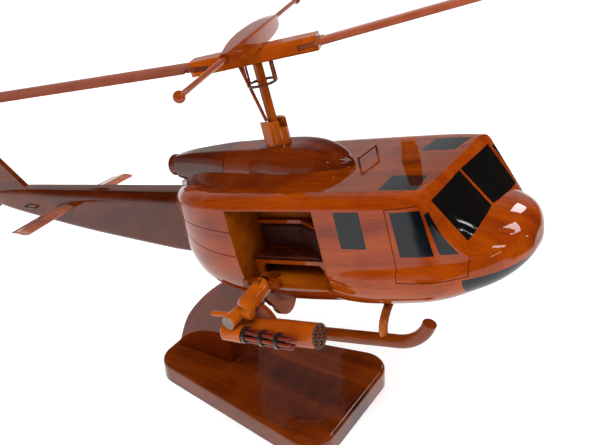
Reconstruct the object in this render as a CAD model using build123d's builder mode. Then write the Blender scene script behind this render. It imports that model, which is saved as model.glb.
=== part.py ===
from build123d import *
import os

os.makedirs("parts", exist_ok=True)

# ---------------------------------------------------------------------------
# Lacquered hardwood desk model of a military utility helicopter on a stand.
# Aircraft pieces are drawn in the aircraft frame (X to the nose, Y to port,
# Z up, zero on the belly under the mast) and then carried by PLACE onto the
# stand.  Stand pieces are drawn directly in the stand frame: zero at the
# centre of the base's underside.  All lengths in mm, angles in degrees.
# ---------------------------------------------------------------------------

# attitude and place of the aircraft on the stand
NOSE_UP = 12.43
LIFT = 79.17             # belly origin above the table
SHIFT = 33.3             # belly origin ahead of the base centre
PLACE = Location((SHIFT, 0, LIFT), (0, -NOSE_UP, 0))

# skin details
INLAY = 1.2              # depth of the side and roof window inlays
SCREEN_INLAY = 1.5       # depth of the windscreen inlays, measured along X
GROOVE = 0.4             # depth of the scribed panel lines
LINE_W = 0.35            # width of the scribed panel lines

# cabin openings
DOOR_X0, DOOR_X1 = -6.4, 37.1
DOOR_TOP = 47.9
FLOOR_Z = 12.0
WELL_Y = 17.0            # inner wall of each cabin well

# landing skids
SKID_Y = 34.5
SKID_Z = -9.7
SKID_D = 5.6


# ---------------------------------------------------------------------------
# Helpers
# ---------------------------------------------------------------------------
def frame_yz(x):
    """Cross-section plane at station x: local x is port, local y is up."""
    return Plane(origin=(x, 0, 0), x_dir=(0, 1, 0), z_dir=(1, 0, 0))


def side_plane(y):
    """Side-view plane at offset y: local x forward, local y up, normal to starboard."""
    return Plane(origin=(0, y, 0), x_dir=(1, 0, 0), z_dir=(0, -1, 0))


def draw_symmetric(half_outline):
    """Draw a closed section from its port half, given as segments from bottom to top.

    A segment of two points is a line, a longer one holds Bezier control points.
    """
    port = half_outline
    starboard = [[(-y, z) for y, z in reversed(segment)] for segment in reversed(port)]
    top_y, top_z = port[-1][-1]
    Line(starboard[-1][-1], port[0][0])
    for segment in port:
        Line(*segment) if len(segment) == 2 else Bezier(*segment)
    if top_y > 0:
        Line((top_y, top_z), (-top_y, top_z))
    for segment in starboard:
        Line(*segment) if len(segment) == 2 else Bezier(*segment)


def loft_sections(stations, half_outline, *cutters):
    """Loft through rows of (x, sizes...), each drawn by half_outline(sizes...), then cut."""
    with BuildPart() as body:
        for x, *sizes in stations:
            with BuildSketch(frame_yz(x)):
                with BuildLine():
                    draw_symmetric(half_outline(*sizes))
                make_face()
        loft()
        for cutter in cutters:
            add(cutter, mode=Mode.SUBTRACT)
    return body.part


def cut(shape, *cutters):
    """The shape with every cutter taken away in turn."""
    with BuildPart() as body:
        add(shape)
        for cutter in cutters:
            add(cutter, mode=Mode.SUBTRACT)
    return body.part


def skin_layer(stock, plane, outline, reach, inward, without=None):
    """The outer layer of stock seen through an outline; inward is its depth vector."""
    with BuildPart() as core:
        add(stock)
        if without is not None:
            add(without, mode=Mode.SUBTRACT)
        with BuildSketch(plane):
            Polygon(*outline, align=None)
        extrude(amount=reach, mode=Mode.INTERSECT)
    return cut(core.part, core.part.moved(Location(inward)))


def plate(plane, outline, thickness):
    """A flat plate with the given closed outline."""
    with BuildPart() as body:
        with BuildSketch(plane):
            with BuildLine():
                Polyline(*outline, close=True)
            make_face()
        extrude(amount=thickness)
    return body.part


def wire_loop(points, start_dir, radius):
    """Round wire bent along the points."""
    with BuildPart() as body:
        with BuildLine() as path:
            Polyline(*points)
        with BuildSketch(Plane(origin=points[0], z_dir=start_dir)):
            Circle(radius)
        sweep(path=path.line, transition=Transition.ROUND)
    return body.part


def largest(shape):
    return shape.solids().sort_by(SortBy.VOLUME)[-1]


def port_copy(shape):
    """Mirror a starboard solid across the centreline."""
    return mirror(shape, about=Plane.XZ)


def write(shape, title):
    """Name a finished solid and write it out."""
    shape.label = title
    export_step(shape, "parts/" + title + ".step")


def ship(shape, title):
    """Carry an aircraft-frame solid onto the stand and write it out."""
    write(shape.moved(PLACE), title)


def ship_group(starboard, port, title):
    """Write starboard and port solids together as one piece."""
    ship(Compound(children=starboard.solids() + port.solids()), title)


# ---------------------------------------------------------------------------
# Fuselage shell: cabin loft plus bulged nose loft
# ---------------------------------------------------------------------------
# station, half width, bottom, top, flat belly half width, belt height,
# roof-edge band width, roof-edge band drop
CABIN = (
    (-62.0, 7.4, 12.6, 43.2, 2.5, 26.0, 4.6, 6.0),
    (-59.0, 11.0, 10.4, 45.2, 3.8, 26.0, 6.0, 6.4),
    (-55.0, 15.8, 8.2, 47.2, 6.0, 26.0, 7.8, 6.4),
    (-50.0, 20.9, 6.5, 48.9, 8.4, 26.0, 9.0, 6.0),
    (-42.0, 27.4, 4.6, 50.6, 11.5, 25.5, 9.6, 5.0),
    (-31.0, 33.6, 2.6, 51.4, 15.5, 25.0, 10.0, 4.3),
    (-18.0, 37.4, 1.2, 51.7, 18.5, 25.0, 10.0, 3.8),
    (-4.0, 38.5, 0.5, 51.7, 20.0, 25.0, 10.0, 3.6),
    (28.0, 38.5, 0.6, 51.7, 20.0, 25.0, 10.0, 3.5),
    (58.0, 38.5, 2.6, 51.7, 20.0, 25.0, 10.0, 3.5),
    (72.0, 37.8, 4.2, 51.6, 20.0, 25.0, 10.0, 3.5),
    (84.0, 35.4, 6.2, 51.2, 18.0, 25.5, 9.5, 3.5),
    (96.0, 28.2, 9.0, 50.6, 14.0, 26.0, 9.0, 3.5),
)
# station, half width, bottom, top, flat belly half width, widest height,
# fullness of the shoulder, fullness of the crown
NOSE = (
    (34.0, 37.2, 1.4, 29.0, 18.0, 18.6, 0.58, 0.74),
    (46.0, 39.8, 1.7, 30.0, 19.0, 18.4, 0.56, 0.78),
    (60.0, 40.6, 3.0, 31.5, 19.5, 18.6, 0.55, 0.80),
    (74.0, 40.1, 4.6, 33.0, 19.0, 18.8, 0.55, 0.80),
    (84.0, 37.9, 6.2, 33.6, 17.0, 19.4, 0.56, 0.76),
    (92.0, 33.2, 8.0, 33.3, 14.0, 20.2, 0.59, 0.68),
    (98.5, 28.0, 9.4, 31.6, 10.5, 21.0, 0.61, 0.63),
    (103.0, 22.6, 11.2, 29.7, 7.3, 21.5, 0.62, 0.62),
    (106.4, 16.2, 13.4, 27.6, 4.5, 21.6, 0.62, 0.62),
    (108.6, 10.0, 15.8, 25.4, 2.2, 21.4, 0.62, 0.62),
    (109.8, 3.2, 19.2, 23.2, 0.8, 21.4, 0.62, 0.62),
)
# windscreen surface: height, X on the centreline, how far the sides fall back
SCREEN = ((14.0, 107.5, 12.8), (62.0, 72.6, -3.0))
SCREEN_HALF = 42
SCREEN_FRONT = 150


def cabin_half(half, bottom, top, belly, belt, band, drop):
    wall = half - 0.2    # the side wall leans in this much up to the roof edge
    return (
        ((belly, bottom), (belly + 0.58 * (half - belly), bottom),
         (half, belt - 0.58 * (belt - bottom)), (half, belt)),
        ((half, belt), (wall, top - drop)),
        ((wall, top - drop), (half - 0.3, top - 0.42 * drop),
         (half - 0.42 * band, top), (half - band, top)),
    )


def nose_half(half, bottom, top, belly, widest, shoulder, crown):
    return (
        ((belly, bottom), (belly + 0.6 * (half - belly), bottom),
         (half, widest - 0.56 * (widest - bottom)), (half, widest)),
        ((half, widest), (half, widest + shoulder * (top - widest)),
         (crown * half, top), (0, top)),
    )


cabin_loft = loft_sections(CABIN, cabin_half)
nose_loft = loft_sections(NOSE, nose_half)

# raked windscreen surface, bowed at its foot: everything ahead of it is cut away
with BuildPart() as screen_cut:
    for (z, centre_x, bow) in SCREEN:
        side_x = centre_x - bow
        with BuildSketch(Plane.XY.offset(z)):
            with BuildLine():
                ThreePointArc((side_x, -SCREEN_HALF), (centre_x, 0), (side_x, SCREEN_HALF))
                Polyline((side_x, SCREEN_HALF), (SCREEN_FRONT, SCREEN_HALF),
                         (SCREEN_FRONT, -SCREEN_HALF), (side_x, -SCREEN_HALF))
            make_face()
    loft(ruled=True)

raked_cabin = cut(cabin_loft, screen_cut.part)

with BuildPart() as hull_build:
    add(raked_cabin)
    add(nose_loft)
hull = hull_build.part

# ---------------------------------------------------------------------------
# Black window inlays: starboard set, the port set is mirrored except the screen
# ---------------------------------------------------------------------------
STARBOARD = side_plane(-60)          # outside the starboard skin
# side view outlines (x, z)
SIDE_INLAYS = {
    "cabin_side": ((46.9, 32.4), (58.0, 32.4), (58.0, 47.6), (46.9, 47.6)),
    "crew_door": ((71.2, 29.4), (83.6, 29.1), (81.8, 47.2), (70.4, 47.2)),
    "crew_quarter": ((85.6, 29.4), (91.6, 28.6), (88.9, 34.0), (86.1, 39.6),
                     (83.2, 45.4), (82.9, 45.4)),
}
# front view outlines (y, z); the port pane runs further round to its corner post
SCREEN_STARBOARD = ((-0.8, 33.6), (-25.4, 30.6), (-27.4, 47.4), (-0.8, 48.3))
SCREEN_PORT = ((0.8, 33.6), (0.8, 48.3), (30.2, 47.2), (29.2, 30.2))
# plan outline (x, y)
ROOF_WINDOW = ((60.6, -13.2), (75.6, -13.2), (77.6, -27.4), (61.6, -27.4))
# side view outline (x, z)
CHIN_WINDOW = ((91.4, 18.6), (99.0, 18.0), (105.0, 17.2), (111.0, 15.8),
               (111.0, 6.0), (90.0, 6.0))

side_panes = {
    name: skin_layer(hull, STARBOARD, outline, reach=-40, inward=(0, INLAY, 0))
    for name, outline in SIDE_INLAYS.items()
}


def windscreen_pane(outline):
    return largest(skin_layer(raked_cabin, frame_yz(70), outline, reach=40,
                              inward=(-SCREEN_INLAY, 0, 0), without=nose_loft))


screen_pane = windscreen_pane(SCREEN_STARBOARD)
port_screen = windscreen_pane(SCREEN_PORT)

# the quarter windows give way to the windscreen panes where they meet
quarter_pane = cut(side_panes["crew_quarter"], screen_pane)
with BuildPart() as port_quarter_build:
    add(port_copy(quarter_pane))
    add(port_screen, mode=Mode.SUBTRACT)
port_quarter = port_quarter_build.part

roof_pane = skin_layer(hull, Plane.XY.offset(60), ROOF_WINDOW, reach=-20,
                       inward=(0, 0, -INLAY))
chin_pane = skin_layer(nose_loft, STARBOARD, CHIN_WINDOW, reach=-57.5,
                       inward=(-0.8, 0.6, 0.8))

# ---------------------------------------------------------------------------
# Scribed panel lines: thin walls of cutter that reach GROOVE deep into the skin
# ---------------------------------------------------------------------------
# side view points (x, z): straight lines round the crew door, curved seams aft
DOOR_LINES = ((83.2, 48.9), (68.65, 48.3), (68.65, 19.9), (93.6, 19.7), (94.3, 26.0))
SEAMS = (
    ((-52, 40.6), (-41, 39.9), (-27.3, 39.4), (-5, 37.7)),
    ((-52, 35.0), (-39.5, 31.8), (-24.5, 28.9), (-5, 26.8)),
)
with BuildPart() as scribe_core:
    add(hull)
    with BuildSketch(STARBOARD):
        for (start, end) in zip(DOOR_LINES[:-1], DOOR_LINES[1:]):
            with BuildLine(mode=Mode.PRIVATE) as run:
                Line(start, end)
            trace(run.line, line_width=LINE_W)
        for points in SEAMS:
            with BuildLine(mode=Mode.PRIVATE) as seam:
                Spline(*points)
            trace(seam.line, line_width=LINE_W)
    extrude(amount=-58, mode=Mode.INTERSECT)
scribe = cut(scribe_core.part, scribe_core.part.moved(Location((0, GROOVE, 0))))

# ---------------------------------------------------------------------------
# Roof works
# ---------------------------------------------------------------------------
# station, half width, crown height, shoulder height
FAIRING = (
    (-60, 5.2, 47.8, 45.8), (-54, 9.0, 50.4, 48.0), (-47, 13.2, 52.6, 49.8),
    (-38, 17.6, 54.4, 51.1), (-20, 22.0, 56.0, 51.6), (0, 23.2, 56.4, 51.6),
    (13, 22.2, 56.0, 51.6), (24, 17.5, 55.0, 51.6), (31, 10.5, 54.0, 51.6),
    (35.5, 3.0, 52.6, 51.6),
)
FAIRING_SKIRT = 3.6      # how far the fairing reaches down below its shoulder
COWL_FOOT = 50.5         # underside of the nose cowl and the band, inside the fairing
# station, half width, crown height
COWL_JOINT = (-7.5, 14.8, 63.0)
NOSE_COWL = (
    COWL_JOINT, (6, 15.2, 63.0), (16, 14.2, 62.2), (24, 11.6, 60.4),
    (30, 8.2, 58.0), (34, 4.4, 55.6), (36, 1.4, 53.8),
)
COWL_BAND = ((-23.0, 13.0, 62.9), COWL_JOINT)
# station, half width, crown height, foot height
ENGINE_COWL = (
    (-59.6, 5.4, 60.3, 49.8), (-52.0, 6.8, 61.4, 48.8), (-42.0, 8.8, 62.2, 48.6),
    (-32.5, 11.0, 62.7, 48.6), (-23.0, 12.8, 62.8, 48.6),
)


def fairing_half(half, crown, shoulder):
    flank = 0.4 * (shoulder + 0.1) + 0.6 * crown
    return (
        ((half, shoulder - FAIRING_SKIRT), (half, shoulder)),
        ((half, shoulder), (0.78 * half, shoulder + 0.2), (0.66 * half, flank),
         (0.55 * half, crown)),
    )


def cowl_half(half, crown):
    flank = COWL_FOOT + 0.45 * (crown - COWL_FOOT)
    return (
        ((half, COWL_FOOT), (1.06 * half, flank), (0.9 * half, crown), (0.36 * half, crown)),
    )


def engine_half(half, crown, foot):
    flank = foot + 0.2 * (crown - foot)
    return (
        ((0.7 * half, foot), (1.2 * half, flank), (1.1 * half, crown), (0.4 * half, crown)),
    )


roof_fairing = loft_sections(FAIRING, fairing_half, hull)
nose_cowl = loft_sections(NOSE_COWL, cowl_half, hull, roof_fairing)
engine_cowl = loft_sections(ENGINE_COWL, engine_half, hull, roof_fairing)

# band between the two cowls, with a step left round a rounded core at its front end
BAND_STEP_X = -8.6
BAND_STEP_L = 1.1
with BuildPart() as cowl_band:
    add(loft_sections(COWL_BAND, cowl_half))
    with BuildSketch(frame_yz(BAND_STEP_X)):
        Rectangle(60, 60)
        with Locations((0, 56.4)):
            RectangleRounded(26.4, 11.8, 4.0, mode=Mode.SUBTRACT)
    extrude(amount=BAND_STEP_L, mode=Mode.SUBTRACT)
    add(hull, mode=Mode.SUBTRACT)
    add(roof_fairing, mode=Mode.SUBTRACT)

EXHAUST_X, EXHAUST_Z = -64.4, 55.1
EXHAUST_R = 5.2
EXHAUST_L = 8.2
with BuildPart() as exhaust_pipe:
    with BuildSketch(frame_yz(EXHAUST_X)):
        with Locations((0, EXHAUST_Z)):
            Circle(EXHAUST_R)
    extrude(amount=EXHAUST_L)
    fillet(exhaust_pipe.faces().sort_by(Axis.X)[0].edges(), radius=1.1)
    add(engine_cowl, mode=Mode.SUBTRACT)
    add(hull, mode=Mode.SUBTRACT)
    add(roof_fairing, mode=Mode.SUBTRACT)

# antenna blade and hand loop on the cabin roof
ANTENNA_FOOT, ANTENNA_TOP = 50.6, 62.0
ANTENNA_Y = 0.6
with BuildPart() as roof_blade:
    with BuildSketch(Plane.XY.offset(ANTENNA_FOOT)):
        with Locations((62.4, ANTENNA_Y)):
            Rectangle(7.8, 1.6)
    with BuildSketch(Plane.XY.offset(ANTENNA_TOP)):
        with Locations((63.0, ANTENNA_Y)):
            Rectangle(5.8, 0.9)
    loft()

ROOF_LOOP = ((40.6, -2.6, 50.6), (40.6, -2.6, 55.3), (40.9, 12.4, 55.3), (40.9, 12.4, 50.6))
roof_loop = wire_loop(ROOF_LOOP, start_dir=(0, 0, 1), radius=0.45)

# ---------------------------------------------------------------------------
# Mast block and mast, in the mast frame (Z along the mast)
# ---------------------------------------------------------------------------
MAST_ORIGIN_Z = 72.0
MAST_LEAN_STARBOARD = 1.51
MAST_LEAN_FORWARD = 0.65
MAST = (Location((0.84, 0, MAST_ORIGIN_Z))
        * Location((0, 0, 0), (MAST_LEAN_STARBOARD, 0, 0))
        * Location((0, 0, 0), (0, MAST_LEAN_FORWARD, 0)))
MAST_D = 4.2
MAST_PIN_D = 3.0         # pin on top of the mast that carries the yoke
MAST_SOCKET = 8.0        # depth of the mast in its block
RUN_FIT = 0.05           # radial running clearance
SHOULDER_GAP = 0.02      # mast shoulder to yoke
BLOCK_R = 5.7
BLOCK_BOTTOM = -9.5
BLOCK_H = 11.3
BLOCK_SLOT_W = 5.2
YOKE_T = 6.2
YOKE_MID = 102.6 - MAST_ORIGIN_Z
YOKE_BOTTOM = YOKE_MID - YOKE_T / 2

with BuildPart() as mast_block:
    with BuildSketch(Plane.XY.offset(BLOCK_BOTTOM)):
        Circle(BLOCK_R)
    extrude(amount=BLOCK_H)
    fillet(mast_block.faces().sort_by(Axis.Z)[-1].edges(), radius=0.5)
    # the slot leaves two lobes standing beside the mast
    with BuildSketch(Plane.XY.offset(-2.2)):
        Rectangle(14, BLOCK_SLOT_W)
    extrude(amount=6, mode=Mode.SUBTRACT)
    with BuildSketch(Plane.XY.offset(-MAST_SOCKET)):
        Circle(MAST_D / 2)
    extrude(amount=MAST_SOCKET, mode=Mode.SUBTRACT)
block_on_roof = mast_block.part.moved(MAST)

with BuildPart() as rotor_mast:
    with BuildSketch(Plane.XY.offset(-MAST_SOCKET)):
        Circle(MAST_D / 2)
    extrude(amount=MAST_SOCKET + YOKE_BOTTOM - SHOULDER_GAP)
    with BuildSketch(Plane.XY.offset(YOKE_BOTTOM - SHOULDER_GAP)):
        Circle(MAST_PIN_D / 2)
    extrude(amount=YOKE_T * 0.72)
mast_on_roof = rotor_mast.part.moved(MAST)

front_cowl = largest(cut(nose_cowl, block_on_roof, mast_on_roof))

# ---------------------------------------------------------------------------
# Rotor head, in the rotor frame (X along the yoke, Z along the mast)
# ---------------------------------------------------------------------------
ROTOR_AZ = 22.5
ROTOR = MAST * Location((0, 0, 0), (0, 0, ROTOR_AZ))
HALF_TURN = Location((0, 0, 0), (0, 0, 180))
YOKE_W = 11.0
YOKE_HALF = 27.8         # half length of the yoke
BLADE_R = 180.0
BLADE_START = 29.5       # where the full blade section begins
BLADE_CHORD = 16.5
CONING = 3.3
ROOT_R = 19.5            # inner end of the blade root, about which the blade cones
ROOT_HALF = 4.6          # half width of the blade root
ROOT_T = 2.1

# one blade drawn along +X, then coned up; the other is its copy by half a turn
half_chord = BLADE_CHORD / 2
with BuildPart() as blade_stock:
    with BuildSketch(frame_yz(BLADE_START)):
        with BuildLine():
            Bezier((-half_chord, -0.2), (-half_chord - 0.35, 1.15),
                   (-half_chord + 3.2, 1.75), (-1.0, 1.4))
            Line((-1.0, 1.4), (half_chord, 0.15))
            Line((half_chord, 0.15), (half_chord, -0.55))
            Line((half_chord, -0.55), (-half_chord + 2.6, -1.1))
            Bezier((-half_chord + 2.6, -1.1), (-half_chord + 0.8, -1.15),
                   (-half_chord + 0.05, -0.9), (-half_chord, -0.2))
        make_face()
    extrude(amount=BLADE_R - BLADE_START)
    with BuildSketch(Plane.XY.offset(-ROOT_T / 2)):
        with BuildLine():
            Polyline((ROOT_R, -ROOT_HALF), (29.6, -ROOT_HALF), (29.6, ROOT_HALF),
                     (ROOT_R, ROOT_HALF), close=True)
        make_face()
    extrude(amount=ROOT_T)
CONED = (Location((0, 0, YOKE_MID - 0.4))
         * Location((ROOT_R, 0, 0), (0, -CONING, 0))
         * Location((-ROOT_R, 0, 0)))
blade_front = blade_stock.part.moved(CONED)
blade_rear = blade_front.moved(HALF_TURN)

# slots in the yoke that take the blade roots
slot_front = plate(Plane.XY.offset(-ROOT_T / 2),
                   ((ROOT_R, -9), (42, -9), (42, 9), (ROOT_R, 9)), ROOT_T).moved(CONED)
slot_rear = slot_front.moved(HALF_TURN)

yoke_side = YOKE_W / 2
yoke_end = 4.4           # half width at the cut-off corners
yoke_corner = YOKE_HALF - 2.0
with BuildPart() as rotor_yoke:
    with BuildSketch(Plane.XY.offset(YOKE_BOTTOM)):
        with BuildLine():
            Polyline((-YOKE_HALF, -yoke_end), (-yoke_corner, -yoke_side),
                     (yoke_corner, -yoke_side), (YOKE_HALF, -yoke_end),
                     (YOKE_HALF, yoke_end), (yoke_corner, yoke_side),
                     (-yoke_corner, yoke_side), (-YOKE_HALF, yoke_end), close=True)
        make_face()
    extrude(amount=YOKE_T)
    chamfer(rotor_yoke.edges().filter_by(Axis.X), length=0.7)
    add(slot_front, mode=Mode.SUBTRACT)
    add(slot_rear, mode=Mode.SUBTRACT)
    with BuildSketch(Plane.XY.offset(YOKE_BOTTOM - 1)):
        Circle(MAST_PIN_D / 2 + RUN_FIT)
    extrude(amount=1 + YOKE_T * 0.75, mode=Mode.SUBTRACT)

# stabilizer bar, drawn along X on top of the yoke and turned across it
BAR_TURN = 90.0 - 3.7
BAR_HALF = 82.0
BAR_AXIS_Z = 3.9         # bar axis above the yoke
BAR_ROD_R = 1.05
BAR_TIP_R = 2.15
BAR_BORE_X = 30          # bottom of the bores in the block ends
BAR_BORE_L = 10
# station, half width, bottom, top
BAR_BLOCK = (
    (-34, 2.0, 1.9, 5.9), (-22, 3.9, 0.8, 6.6), (-6, 5.2, 0.0, 7.2),
    (10, 5.2, 0.0, 7.2), (25, 4.4, 0.7, 6.7), (34, 3.2, 1.7, 6.1),
)
with BuildPart() as bar_block:
    for (x, half, bottom, top) in BAR_BLOCK:
        with BuildSketch(frame_yz(x)):
            with BuildLine():
                Polyline((-half, bottom), (half, bottom), (half, top - 0.8), (half - 0.8, top),
                         (-half + 0.8, top), (-half, top - 0.8), close=True)
            make_face()
    loft()
    split(bisect_by=Plane.XY, keep=Keep.TOP)
    for x in (-BAR_BORE_X - BAR_BORE_L, BAR_BORE_X):
        with BuildSketch(frame_yz(x)):
            with Locations((0, BAR_AXIS_Z)):
                Circle(BAR_ROD_R)
        extrude(amount=BAR_BORE_L, mode=Mode.SUBTRACT)

with BuildPart() as bar_arms:
    for x in (-BAR_HALF, BAR_BORE_X):
        with BuildSketch(frame_yz(x)):
            with Locations((0, BAR_AXIS_Z)):
                Circle(BAR_ROD_R)
        extrude(amount=BAR_HALF - BAR_BORE_X)
    with Locations((-BAR_HALF, 0, BAR_AXIS_Z), (BAR_HALF, 0, BAR_AXIS_Z)):
        Sphere(BAR_TIP_R)
BAR_PLACE = (Location((0, 0, YOKE_MID + YOKE_T / 2))
             * Location((0, 0, 0), (0, 0, BAR_TURN)))

# swashplate ring round the mast, and the links from it up to the yoke
RING_Z = 90.4 - MAST_ORIGIN_Z
LINK_FOOT = RING_Z + 0.5
LINK_X, LINK_Y = 5.9, 1.9
with BuildPart() as swash_ring:
    with BuildSketch(Plane.XZ):
        with Locations((6.2, RING_Z)):
            Circle(0.6)
    revolve(axis=Axis.Z)

with BuildPart() as pitch_links:
    with BuildSketch(Plane.XY.offset(LINK_FOOT)):
        with Locations((LINK_X, LINK_Y), (-LINK_X, LINK_Y),
                       (LINK_X, -LINK_Y), (-LINK_X, -LINK_Y)):
            Circle(0.5)
    extrude(amount=YOKE_BOTTOM - LINK_FOOT)
    add(swash_ring.part, mode=Mode.SUBTRACT)

# the control rod leans in from the yoke and stops just clear of the mast block
# lobes; it is drawn in the mast frame
ROD_FOOT = (-0.4, -3.75, 2.5)
ROD_DIR = (-6.1, -0.25, 25.4)
with BuildPart() as rod_build:
    with BuildSketch(Plane(origin=ROD_FOOT, z_dir=ROD_DIR)):
        Circle(0.75)
    extrude(amount=27.0)
    add(rotor_yoke.part.moved(Location((0, 0, 0), (0, 0, ROTOR_AZ))), mode=Mode.SUBTRACT)
control_rod = rod_build.part.solids().sort_by(Axis.Z)[0]
ring_notched = cut(swash_ring.part, control_rod)
links_fit = cut(pitch_links.part, control_rod.moved(Location((0, 0, 0), (0, 0, -ROTOR_AZ))))

# ---------------------------------------------------------------------------
# Tail
# ---------------------------------------------------------------------------
# station, half width, bottom, top
BOOM = (
    (-58, 8.6, 11.0, 43.0), (-80, 7.6, 12.5, 43.6), (-98, 6.9, 14.9, 44.1),
    (-140, 5.6, 21.0, 45.2), (-163, 4.8, 25.0, 45.8), (-184, 4.0, 28.9, 46.3),
    (-204, 3.2, 33.0, 46.2), (-214.0, 2.5, 35.6, 46.0),
)
SPINE_H = 1.9            # height of the narrow spine along the top of the boom


def boom_half(half, bottom, top):
    spine = 0.34 * half
    return (
        ((0.45 * half, bottom), (0.85 * half, bottom), (half, bottom + 1.5),
         (half, bottom + 3.0)),
        ((half, bottom + 3.0), (half, top - 6.6)),
        ((half, top - 6.6), (half, top - 3.6), (0.75 * half, top - 2.0),
         (spine, top - SPINE_H)),
        ((spine, top - SPINE_H), (spine, top)),
    )


tail_boom = loft_sections(BOOM, boom_half, hull)

TR_X, TR_Z = -226.0, 80.0            # tail rotor axis
TR_R = 33.0
TR_SHAFT_R = 0.9
FIN_T = 3.2
FIN = (
    (-181.5, 43.6), (-217.5, 82.0), (-220.5, 84.4), (-232.0, 85.6), (-235.0, 83.2),
    (-219.6, 44.0), (-214.2, 36.4), (-206.0, 38.0),
)
with BuildPart() as tail_fin:
    with BuildSketch(side_plane(FIN_T / 2)):
        with BuildLine():
            Polyline(*FIN, close=True)
        make_face()
    extrude(amount=FIN_T)
    # the long edges on both faces
    chamfer(tail_fin.edges().filter_by(
        lambda edge: abs(edge.center().Y) > 1.59 and edge.length > 20), length=0.9)
    add(tail_boom, mode=Mode.SUBTRACT)
    with BuildSketch(side_plane(5)):
        with Locations((TR_X, TR_Z)):
            Circle(TR_SHAFT_R)
    extrude(amount=10, mode=Mode.SUBTRACT)

# horizontal stabilizer, starboard: leading edge X, distance out, chord
STAB_Z = 35.2
STAB = ((-142.6, 3.0, 16.0), (-139.8, 38.4, 16.6))
with BuildPart() as stab_stock:
    for (lead_x, y, chord) in STAB:
        trail_x = lead_x - chord
        with BuildSketch(side_plane(-y)):
            with BuildLine():
                Spline((trail_x, STAB_Z), (lead_x - 0.55 * chord, STAB_Z + 1.1),
                       (lead_x - 0.2 * chord, STAB_Z + 1.3), (lead_x, STAB_Z),
                       (lead_x - 0.2 * chord, STAB_Z - 1.1),
                       (lead_x - 0.55 * chord, STAB_Z - 0.8), (trail_x, STAB_Z - 0.35))
                Line((trail_x, STAB_Z - 0.35), (trail_x, STAB_Z))
            make_face()
    loft()
stab_right = cut(stab_stock.part, tail_boom).solids().sort_by(Axis.Y)[0]

BOOM_LOOP = ((-176.5, -3.6, 34.6), (-176.5, -6.2, 34.6),
             (-185.5, -6.2, 35.4), (-185.5, -3.2, 35.4))
boom_loop = cut(wire_loop(BOOM_LOOP, start_dir=(0, -1, 0), radius=0.4), tail_boom)

# thin rod under the fin with a ball on its end
TAIL_SKID_X, TAIL_SKID_Z = -210.5, 37.6
TAIL_SKID_L = 24
with BuildPart() as tail_skid:
    with BuildSketch(Plane(origin=(TAIL_SKID_X, 0, TAIL_SKID_Z), z_dir=(-0.90, 0, -0.43))):
        Circle(0.9)
    extrude(amount=TAIL_SKID_L)
    with Locations((TAIL_SKID_X - TAIL_SKID_L * 0.902, 0, TAIL_SKID_Z - TAIL_SKID_L * 0.431)):
        Sphere(1.4)
    add(tail_boom, mode=Mode.SUBTRACT)
    add(tail_fin.part, mode=Mode.SUBTRACT)

# port end Y, radius, length: pin in the fin, pin to the hub, collar, end cap
TAIL_SHAFT = (
    (FIN_T / 2, TR_SHAFT_R, FIN_T), (9.4, TR_SHAFT_R, 7.8), (4.6, 1.9, 3.0), (10.4, 1.5, 1.0),
)
with BuildPart() as tail_shaft:
    for (y, radius, length) in TAIL_SHAFT:
        with BuildSketch(side_plane(y)):
            with Locations((TR_X, TR_Z)):
                Circle(radius)
        extrude(amount=length)

TR_BLADE_Y = 7.7         # port face of the tail rotor blades
TR_BLADE_T = 1.4
TR_BLADE_ROOT = 3.6      # blade root from the axis
with BuildPart() as tail_hub:
    with BuildSketch(side_plane(9.2)):
        with Locations((TR_X, TR_Z)):
            RectangleRounded(4.6, 12.0, 1.2)
            Circle(TR_SHAFT_R + RUN_FIT, mode=Mode.SUBTRACT)
    extrude(amount=4.4)
    with BuildSketch(side_plane(TR_BLADE_Y)):
        with Locations((TR_X, TR_Z + 6.0), (TR_X, TR_Z - 6.0)):
            Rectangle(9, 4.8)
    extrude(amount=TR_BLADE_T, mode=Mode.SUBTRACT)

tr_blade_length = TR_R - TR_BLADE_ROOT
tr_blade_mid = TR_BLADE_ROOT + tr_blade_length / 2
with BuildPart() as tail_blades:
    with BuildSketch(side_plane(TR_BLADE_Y)):
        with Locations((TR_X, TR_Z + tr_blade_mid), (TR_X, TR_Z - tr_blade_mid)):
            RectangleRounded(4.6, tr_blade_length, 0.8)
    extrude(amount=TR_BLADE_T)

# ---------------------------------------------------------------------------
# Cabin benches, starboard: along the well wall, the front end angled outboard
# ---------------------------------------------------------------------------
PAN_Z = 20.6             # top of the seat pan
PAN_T = 1.8
PAN_BOTTOM = PAN_Z - PAN_T
REAR_X = -6.3
PAD_REAR_X = -6.2
OUTER_Y = -28.2
# plan outlines (x, y)
PAN = ((REAR_X, -17.0), (17.0, -17.0), (31.4, -26.4), (31.4, OUTER_Y), (REAR_X, OUTER_Y))
BACK_BOARD = ((REAR_X, -17.0), (17.0, -17.0), (31.4, -26.4), (31.4, -27.4),
              (16.6, -18.0), (REAR_X, -18.0))
TOP_RAIL = ((REAR_X, -17.0), (17.0, -17.0), (31.4, -26.4), (31.4, OUTER_Y),
            (16.4, -19.2), (REAR_X, -19.2))
SEAT_PAD = ((PAD_REAR_X, -19.6), (15.9, -19.6), (28.6, -27.9), (28.6, -28.6),
            (PAD_REAR_X, -28.6))
BACK_PAD = ((PAD_REAR_X, -18.06), (16.55, -18.06), (31.2, -27.5), (31.2, -28.8),
            (16.1, -19.4), (PAD_REAR_X, -19.4))
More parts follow.
